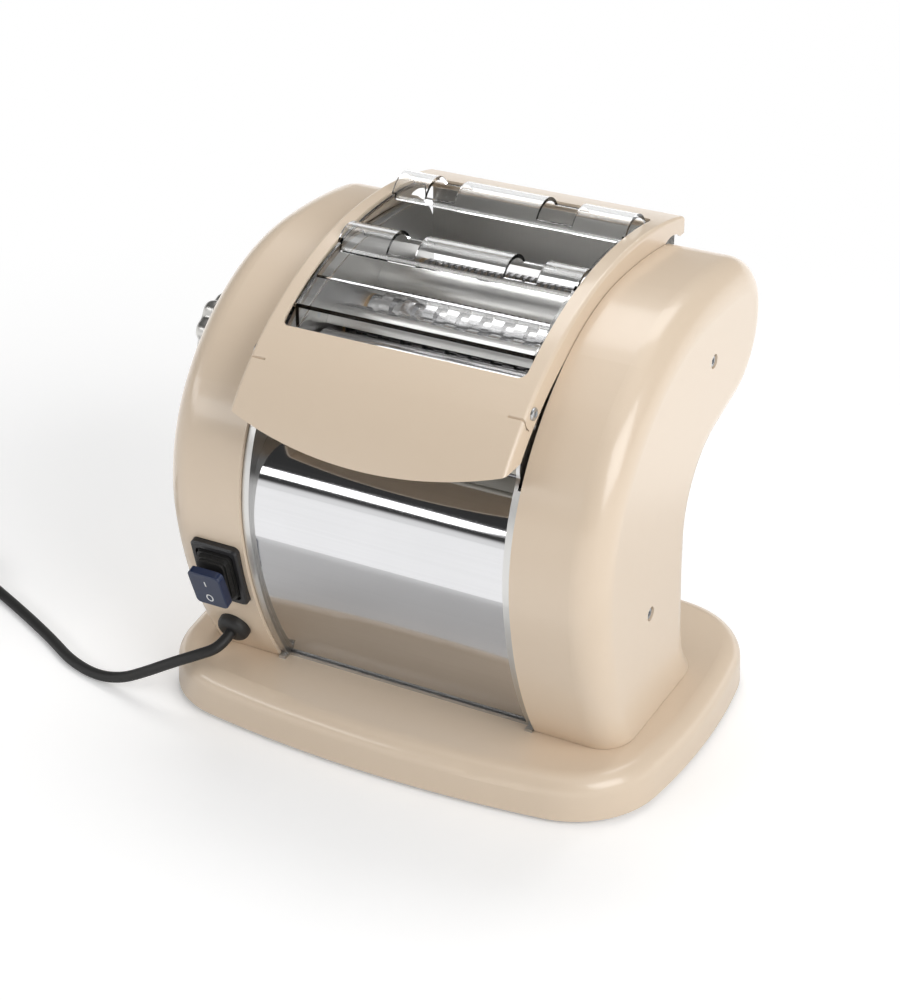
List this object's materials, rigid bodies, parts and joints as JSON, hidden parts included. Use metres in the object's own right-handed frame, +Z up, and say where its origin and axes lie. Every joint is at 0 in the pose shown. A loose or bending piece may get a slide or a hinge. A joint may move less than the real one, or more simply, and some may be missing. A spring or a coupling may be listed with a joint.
{
  "type": "electric pasta maker",
  "caption": "Electric pasta maker: cream moulded sides on a base, a cream hood with a clear guard over the rollers, a thickness knob and a rocker switch.",
  "frame": {"origin": "on the floor under the centre of the base", "axes": "+X to the right as the user faces the appliance, +Y to the back, +Z up"},
  "size_m": [0.535, 0.2589, 0.2585],
  "materials": {
    "cream_plastic": "glossy cream moulding",
    "cream_paint": "cream baked enamel on sheet steel",
    "polished_steel": "mirror-polished stainless sheet",
    "satin_steel": "satin stainless sheet",
    "nickel_steel": "bright nickel-plated rollers",
    "zinc_steel": "zinc-plated steel",
    "bush_bronze": "sintered bronze",
    "gear_nylon": "natural nylon",
    "clear_plastic": "clear moulded plastic",
    "silver_plastic": "silver-plated plastic",
    "black_plastic": "black moulding",
    "blue_plastic": "dark blue moulding",
    "black_rubber": "matt black rubber"
  },
  "bodies": {
    "housing": {"base_shell": "cream_plastic", "base_bottom_plate": "black_plastic", "feet": "black_rubber", "foot_screws": "zinc_steel", "chassis_plate": "satin_steel", "chassis_screws": "zinc_steel", "right_side_plate": "satin_steel", "left_side_plate": "satin_steel", "tie_rods": "zinc_steel", "tie_rod_nuts": "zinc_steel", "right_side_cover": "cream_plastic", "left_side_cover": "cream_plastic", "cover_screws": "zinc_steel", "hood_pivot_screws": "zinc_steel", "roller_bushes": "bush_bronze", "gear_studs": "zinc_steel", "gear_plate": "satin_steel", "gear_plate_posts": "zinc_steel", "drive_train_screws": "zinc_steel", "gearbox_case": "black_plastic", "gearbox_lid": "zinc_steel", "motor_can": "zinc_steel", "motor_end_cap": "black_plastic", "motor_cradle": "black_plastic", "front_panel": "polished_steel", "rear_panel": "polished_steel", "roller_guides": "satin_steel", "roller_scrapers": "gear_nylon", "cutter_combs": "gear_nylon", "adjuster_bracket": "zinc_steel", "scale_disc": "silver_plastic", "switch_body": "black_plastic", "switch_boot": "black_rubber", "cable_gland": "black_rubber", "mains_cord": "black_rubber", "cord_coil": "black_rubber", "mains_plug": "black_plastic"},
    "hood": {"hood": "cream_paint", "clear_guard": "clear_plastic"},
    "smooth_front": {"smooth_roller_front": "nickel_steel", "smooth_front_gear": "gear_nylon"},
    "bearings": {"adjustable_bearings": "bush_bronze"},
    "smooth_rear": {"smooth_roller_rear": "nickel_steel", "smooth_rear_gear": "gear_nylon"},
    "wide_front": {"wide_cutter_front": "nickel_steel", "wide_front_gear": "gear_nylon"},
    "wide_rear": {"wide_cutter_rear": "nickel_steel", "wide_rear_gear": "gear_nylon"},
    "fine_front": {"fine_cutter_front": "nickel_steel", "fine_front_gear": "gear_nylon"},
    "fine_rear": {"fine_cutter_rear": "nickel_steel", "fine_rear_gear": "gear_nylon"},
    "drive": {"drive_gear": "gear_nylon"},
    "idler": {"idler_gear": "gear_nylon"},
    "output": {"output_shaft": "zinc_steel", "output_pinion": "zinc_steel"},
    "adjuster": {"adjuster_shaft": "zinc_steel", "thickness_knob": "silver_plastic"},
    "rocker": {"switch_rocker": "blue_plastic"}
  },
  "joints": [
    {"name": "hood_lift", "type": "hinge", "parent": "housing", "child": "hood", "pos_m": [0, -0.07, 0.2079], "axis": [1, 0, 0], "range_deg": [0, 20]},
    {"name": "smooth_front_spin", "type": "hinge", "parent": "housing", "child": "smooth_front", "pos_m": [0, -0.0493, 0.1855], "axis": [1, 0, 0], "continuous": true},
    {"name": "bearing_slide", "type": "slide", "parent": "housing", "child": "bearings", "axis": [0, -1, 0], "range_m": [0, 0.0018]},
    {"name": "smooth_rear_spin", "type": "hinge", "parent": "bearings", "child": "smooth_rear", "pos_m": [0, -0.019, 0.1855], "axis": [1, 0, 0], "continuous": true},
    {"name": "wide_front_spin", "type": "hinge", "parent": "housing", "child": "wide_front", "pos_m": [0, 0.0125, 0.189], "axis": [1, 0, 0], "continuous": true},
    {"name": "wide_rear_spin", "type": "hinge", "parent": "housing", "child": "wide_rear", "pos_m": [0, 0.0335, 0.189], "axis": [1, 0, 0], "continuous": true},
    {"name": "fine_front_spin", "type": "hinge", "parent": "housing", "child": "fine_front", "pos_m": [0, 0.07299, 0.19], "axis": [1, 0, 0], "continuous": true},
    {"name": "fine_rear_spin", "type": "hinge", "parent": "housing", "child": "fine_rear", "pos_m": [0, 0.09099, 0.19], "axis": [1, 0, 0], "continuous": true},
    {"name": "drive_spin", "type": "hinge", "parent": "housing", "child": "drive", "pos_m": [0, -0.0142, 0.15855], "axis": [1, 0, 0], "continuous": true},
    {"name": "idler_spin", "type": "hinge", "parent": "housing", "child": "idler", "pos_m": [0, 0.0436, 0.184], "axis": [1, 0, 0], "continuous": true},
    {"name": "output_spin", "type": "hinge", "parent": "housing", "child": "output", "pos_m": [0, -0.0142, 0.11655], "axis": [1, 0, 0], "continuous": true},
    {"name": "knob_turn", "type": "hinge", "parent": "housing", "child": "adjuster", "pos_m": [-0.124, -0.019, 0.1855], "axis": [-1, 0, 0], "range_deg": [0, 180]},
    {"name": "switch_rock", "type": "hinge", "parent": "housing", "child": "rocker", "pos_m": [-0.092, -0.08604, 0.08749], "axis": [-1, 0, 0], "range_deg": [0, 12]}
  ],
  "couplings": [
    {"joint": "smooth_rear_spin", "follows": "smooth_front_spin", "ratio": -1},
    {"joint": "drive_spin", "follows": "smooth_front_spin", "ratio": -0.475},
    {"joint": "output_spin", "follows": "smooth_front_spin", "ratio": 1.1875},
    {"joint": "wide_front_spin", "follows": "smooth_front_spin", "ratio": 1.3571},
    {"joint": "wide_rear_spin", "follows": "smooth_front_spin", "ratio": -1.3571},
    {"joint": "idler_spin", "follows": "smooth_front_spin", "ratio": -0.67857},
    {"joint": "fine_front_spin", "follows": "smooth_front_spin", "ratio": 1.5833},
    {"joint": "fine_rear_spin", "follows": "smooth_front_spin", "ratio": -1.5833},
    {"joint": "knob_turn", "follows": "bearing_slide", "rad_per_m": 1745.3}
  ]
}
